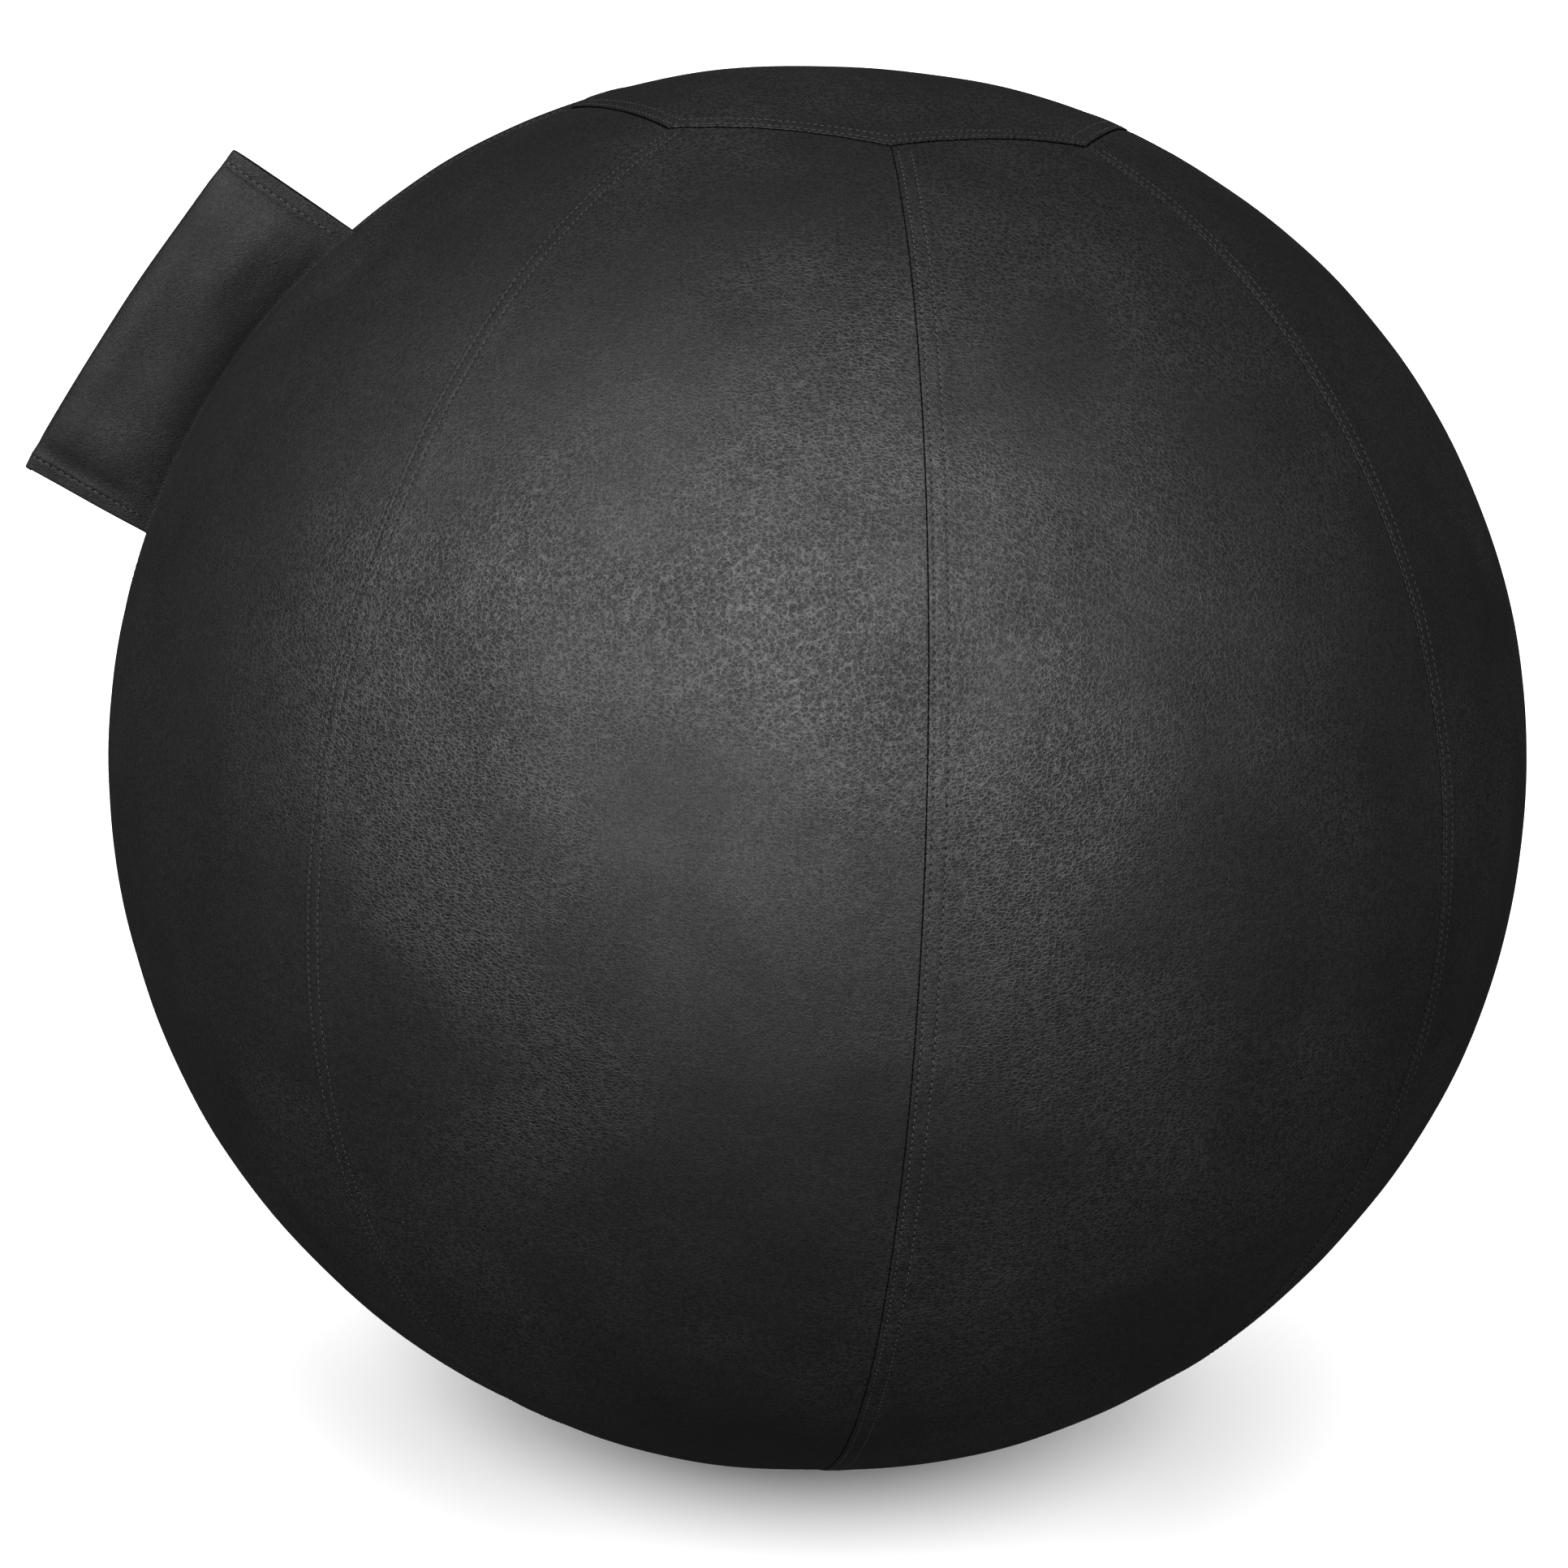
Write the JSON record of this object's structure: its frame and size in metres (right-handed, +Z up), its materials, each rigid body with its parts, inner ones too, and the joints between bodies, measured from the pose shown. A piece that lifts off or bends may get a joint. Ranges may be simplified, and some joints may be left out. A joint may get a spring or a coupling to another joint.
{
  "type": "covered sitting ball",
  "caption": "Inflatable sitting and exercise ball in a sewn black leatherette cover, with a wide loop handle and a zip round its base.",
  "frame": {"origin": "centre of the flat face that the ball rests on", "axes": "+Z up through the ball's poles, the handle stands out towards -X"},
  "size_m": [0.6877, 0.6499, 0.638],
  "materials": {
    "black_leatherette": "semi-matt, pebbled grain, black twin top-stitching",
    "base_grip_fabric": "matt grippy coated fabric",
    "zip_tape": "woven",
    "nylon_coil": "satin",
    "gunmetal": "dark satin plating",
    "black_webbing": "woven",
    "weight_granulate": "loose dark granulate",
    "grey_pvc": "soft satin",
    "white_plug": "satin"
  },
  "bodies": {
    "ball": {"top_panel": "black_leatherette", "side_panel_1": "black_leatherette", "side_panel_2": "black_leatherette", "side_panel_3": "black_leatherette", "side_panel_4": "black_leatherette", "side_panel_5": "black_leatherette", "side_panel_6": "black_leatherette", "side_panel_7": "black_leatherette", "side_panel_8": "black_leatherette", "base_panel": "base_grip_fabric", "zip_tape_side": "zip_tape", "zip_tape_base": "zip_tape", "zip_coil_side": "nylon_coil", "zip_coil_base": "nylon_coil", "zip_stop_closed_end": "gunmetal", "zip_stop_open_end": "gunmetal", "handle_anchor_tape": "black_webbing", "base_weight_sleeve": "black_webbing", "base_weight_fill": "weight_granulate", "bladder": "grey_pvc", "valve_collar": "grey_pvc", "valve_plug": "white_plug"},
    "handle": {"handle_strip": "black_leatherette", "handle_lining": "black_webbing"},
    "zip_slider": {"zip_slider": "gunmetal"},
    "zip_puller": {"zip_puller": "gunmetal"}
  },
  "joints": [
    {"name": "handle_fold", "type": "hinge", "parent": "ball", "child": "handle", "pos_m": [-0.27621, 0, 0.49497], "axis": [0.5373, 0, 0.8434], "range_deg": [-70, 70], "stiffness_Nm_per_rad": 0.15},
    {"name": "zip_travel", "type": "hinge", "parent": "ball", "child": "zip_slider", "pos_m": [0, 0, 0.319], "axis": [0, 0, 1], "range_deg": [0, 190]},
    {"name": "puller_swing", "type": "hinge", "parent": "zip_slider", "child": "zip_puller", "pos_m": [0.13597, -0.01309, 0.01926], "axis": [0.9058, -0.0872, 0.4147], "range_deg": [-85, 85]}
  ]
}
